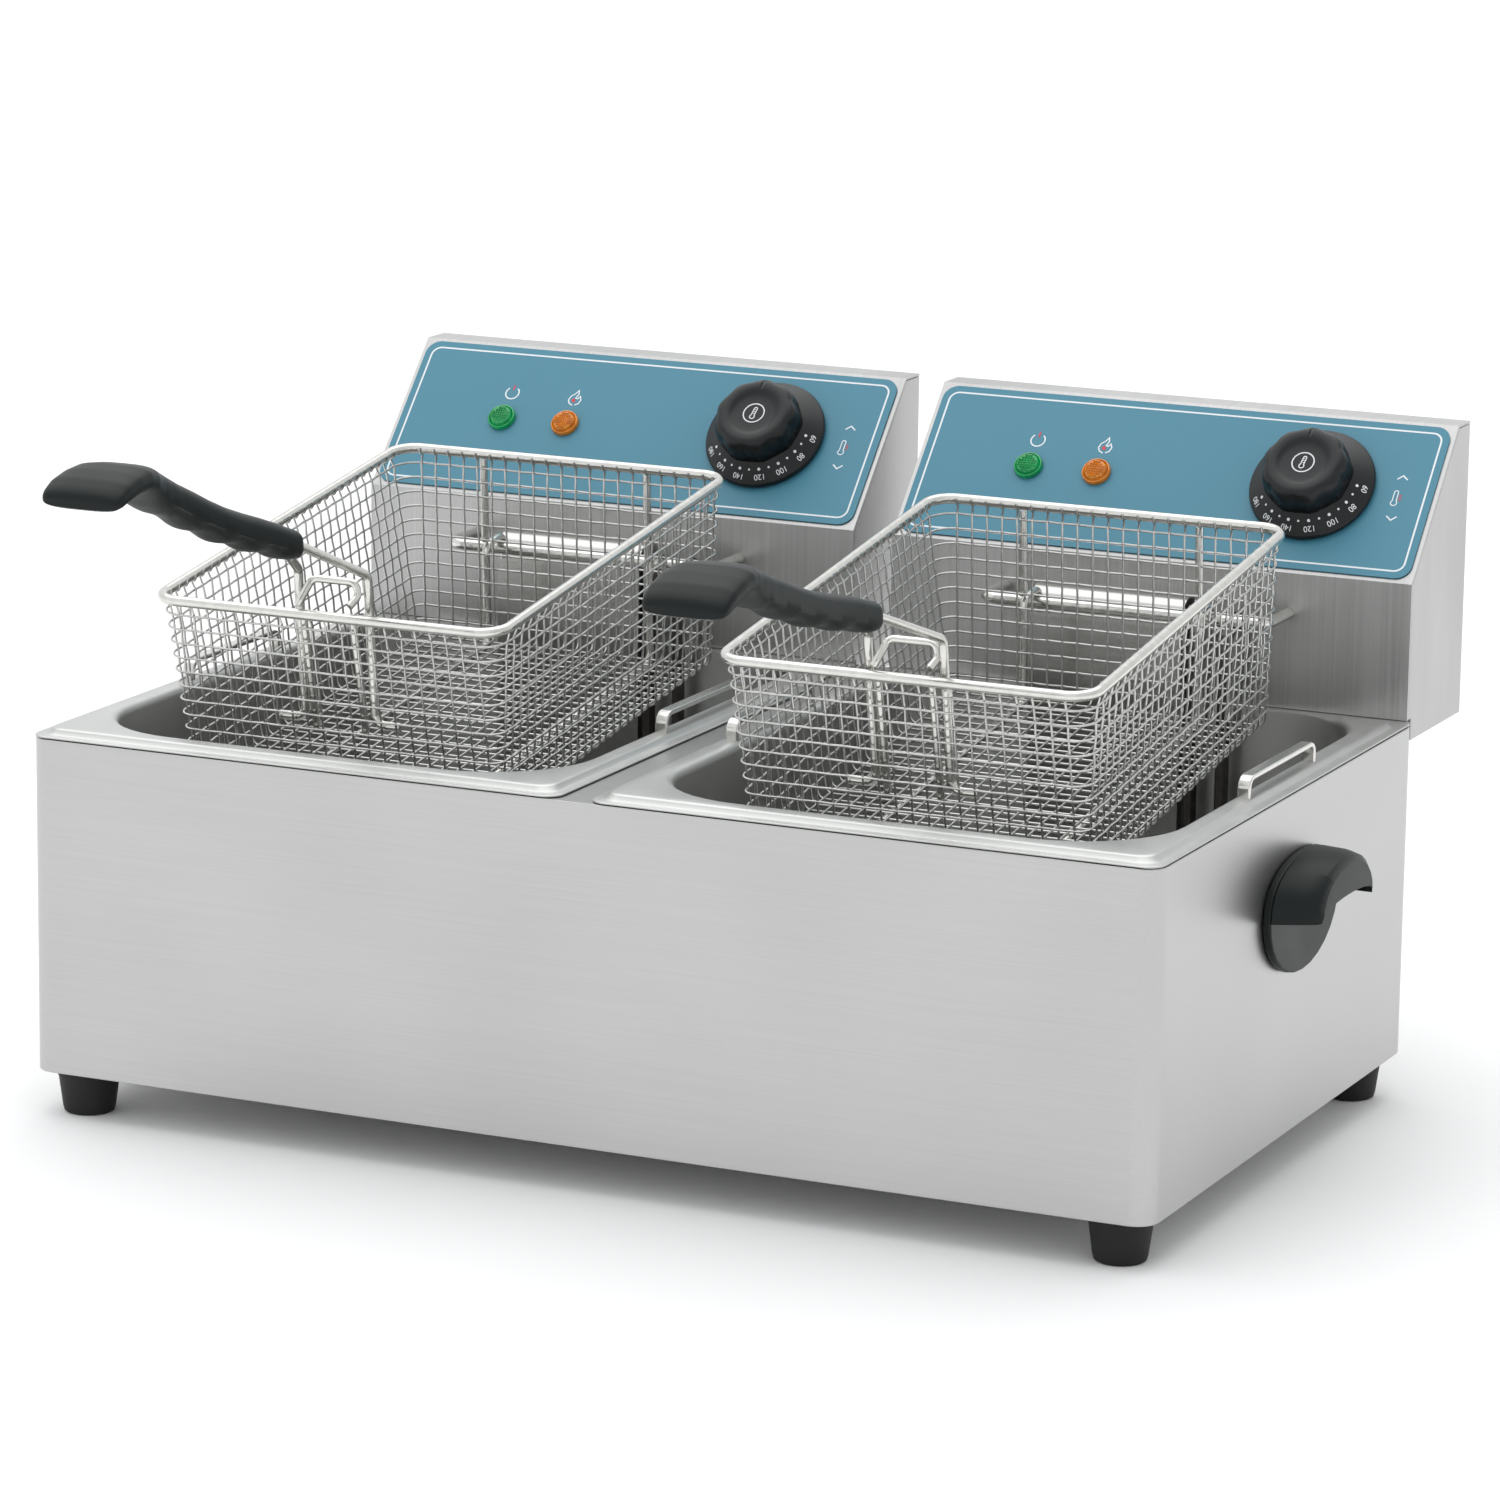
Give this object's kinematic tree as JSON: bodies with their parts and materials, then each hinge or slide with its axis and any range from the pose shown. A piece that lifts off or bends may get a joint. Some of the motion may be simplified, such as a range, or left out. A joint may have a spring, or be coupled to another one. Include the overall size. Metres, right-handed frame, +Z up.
{
  "type": "deep fryer",
  "caption": "Twin-tank countertop electric deep fryer: brushed steel casing with drop-in oil tanks, hooked wire baskets with long grips, and lift-off control heads.",
  "frame": {"origin": "on the table, under the middle of the machine's bounding box", "axes": "+Z up, +X to the user's right when the user stands in front of the baskets' grips, +Y towards the back"},
  "size_m": [0.6096, 0.6154, 0.3436],
  "materials": {
    "brushed_steel": "brushed",
    "pressed_steel": "satin, drawn",
    "bright_plating": "polished",
    "plated_wire": "bright, drawn wire",
    "heated_tube": "dark, heat-tinted",
    "green_grey_plastic": "satin, moulded",
    "black_plastic": "satin, moulded",
    "black_rubber": "matte",
    "teal_label": "satin printed film",
    "green_lens": "clear, tinted",
    "amber_lens": "clear, tinted",
    "red_plastic": "satin",
    "cream_ceramic": "matte ceramic"
  },
  "bodies": {
    "machine": {"housing": "brushed_steel", "base_plate": "brushed_steel", "foot_front_left": "black_rubber", "foot_front_right": "black_rubber", "foot_rear_left": "black_rubber", "foot_rear_right": "black_rubber", "left_handle_plate": "green_grey_plastic", "left_handle_hood": "green_grey_plastic", "right_handle_plate": "green_grey_plastic", "right_handle_hood": "green_grey_plastic"},
    "left_pan": {"left_tank": "pressed_steel"},
    "left_inner_strap": {"left_tank_handle_inner": "bright_plating"},
    "left_outer_strap": {"left_tank_handle_outer": "bright_plating"},
    "left_head": {"left_head_front": "brushed_steel", "left_head_cover": "brushed_steel", "left_control_label": "teal_label", "left_green_lamp": "green_lens", "left_amber_lamp": "amber_lens", "left_thermostat": "cream_ceramic", "left_drain_rail": "bright_plating", "left_element_guard": "brushed_steel", "left_heating_element": "heated_tube", "left_sensing_bulb": "bright_plating", "left_limit_cutout": "cream_ceramic", "left_cable_gland": "black_plastic", "left_terminal_block": "cream_ceramic"},
    "left_dial": {"left_knob": "black_plastic"},
    "left_reset": {"left_reset_button": "red_plastic"},
    "left_basket": {"left_basket_tray": "plated_wire", "left_basket_rim": "plated_wire", "left_basket_hanger": "plated_wire", "left_handle_bracket": "plated_wire"},
    "left_basket_handle": {"left_handle_wire": "plated_wire", "left_grip": "green_grey_plastic"},
    "right_pan": {"right_tank": "pressed_steel"},
    "right_inner_strap": {"right_tank_handle_inner": "bright_plating"},
    "right_outer_strap": {"right_tank_handle_outer": "bright_plating"},
    "right_head": {"right_head_front": "brushed_steel", "right_head_cover": "brushed_steel", "right_control_label": "teal_label", "right_green_lamp": "green_lens", "right_amber_lamp": "amber_lens", "right_thermostat": "cream_ceramic", "right_drain_rail": "bright_plating", "right_element_guard": "brushed_steel", "right_heating_element": "heated_tube", "right_sensing_bulb": "bright_plating", "right_limit_cutout": "cream_ceramic", "right_cable_gland": "black_plastic", "right_terminal_block": "cream_ceramic"},
    "right_dial": {"right_knob": "black_plastic"},
    "right_reset": {"right_reset_button": "red_plastic"},
    "right_basket": {"right_basket_tray": "plated_wire", "right_basket_rim": "plated_wire", "right_basket_hanger": "plated_wire", "right_handle_bracket": "plated_wire"},
    "right_basket_handle": {"right_handle_wire": "plated_wire", "right_grip": "green_grey_plastic"}
  },
  "joints": [
    {"name": "left_tank_lift", "type": "slide", "parent": "machine", "child": "left_pan", "axis": [0, 0, 1], "range_m": [0, 0.16]},
    {"name": "left_inner_strap_pull", "type": "slide", "parent": "left_pan", "child": "left_inner_strap", "axis": [0, 0, 1], "range_m": [0, 0.018]},
    {"name": "left_outer_strap_pull", "type": "slide", "parent": "left_pan", "child": "left_outer_strap", "axis": [0, 0, 1], "range_m": [0, 0.018]},
    {"name": "left_head_lift", "type": "slide", "parent": "left_pan", "child": "left_head", "axis": [0, 0, 1], "range_m": [0, 0.2]},
    {"name": "left_knob_turn", "type": "hinge", "parent": "left_head", "child": "left_dial", "pos_m": [-0.0721, 0.2457, 0.2827], "axis": [0, 0.7314, -0.682], "range_deg": [0, 270]},
    {"name": "left_reset_press", "type": "slide", "parent": "left_head", "child": "left_reset", "axis": [0, -1, 0], "range_m": [0, 0.002], "stiffness_N_per_m": 200},
    {"name": "left_basket_lift", "type": "slide", "parent": "left_head", "child": "left_basket", "axis": [0, 0, 1], "range_m": [0, 0.2]},
    {"name": "left_handle_fold", "type": "hinge", "parent": "left_basket", "child": "left_basket_handle", "pos_m": [-0.1435, -0.0657, 0.1922], "axis": [-1, 0, 0], "range_deg": [0, 101]},
    {"name": "right_tank_lift", "type": "slide", "parent": "machine", "child": "right_pan", "axis": [0, 0, 1], "range_m": [0, 0.16]},
    {"name": "right_inner_strap_pull", "type": "slide", "parent": "right_pan", "child": "right_inner_strap", "axis": [0, 0, 1], "range_m": [0, 0.018]},
    {"name": "right_outer_strap_pull", "type": "slide", "parent": "right_pan", "child": "right_outer_strap", "axis": [0, 0, 1], "range_m": [0, 0.018]},
    {"name": "right_head_lift", "type": "slide", "parent": "right_pan", "child": "right_head", "axis": [0, 0, 1], "range_m": [0, 0.2]},
    {"name": "right_knob_turn", "type": "hinge", "parent": "right_head", "child": "right_dial", "pos_m": [0.2149, 0.2457, 0.2827], "axis": [0, 0.7314, -0.682], "range_deg": [0, 270]},
    {"name": "right_reset_press", "type": "slide", "parent": "right_head", "child": "right_reset", "axis": [0, -1, 0], "range_m": [0, 0.002], "stiffness_N_per_m": 200},
    {"name": "right_basket_lift", "type": "slide", "parent": "right_head", "child": "right_basket", "axis": [0, 0, 1], "range_m": [0, 0.2]},
    {"name": "right_handle_fold", "type": "hinge", "parent": "right_basket", "child": "right_basket_handle", "pos_m": [0.1435, -0.0657, 0.1922], "axis": [-1, 0, 0], "range_deg": [0, 105]}
  ]
}
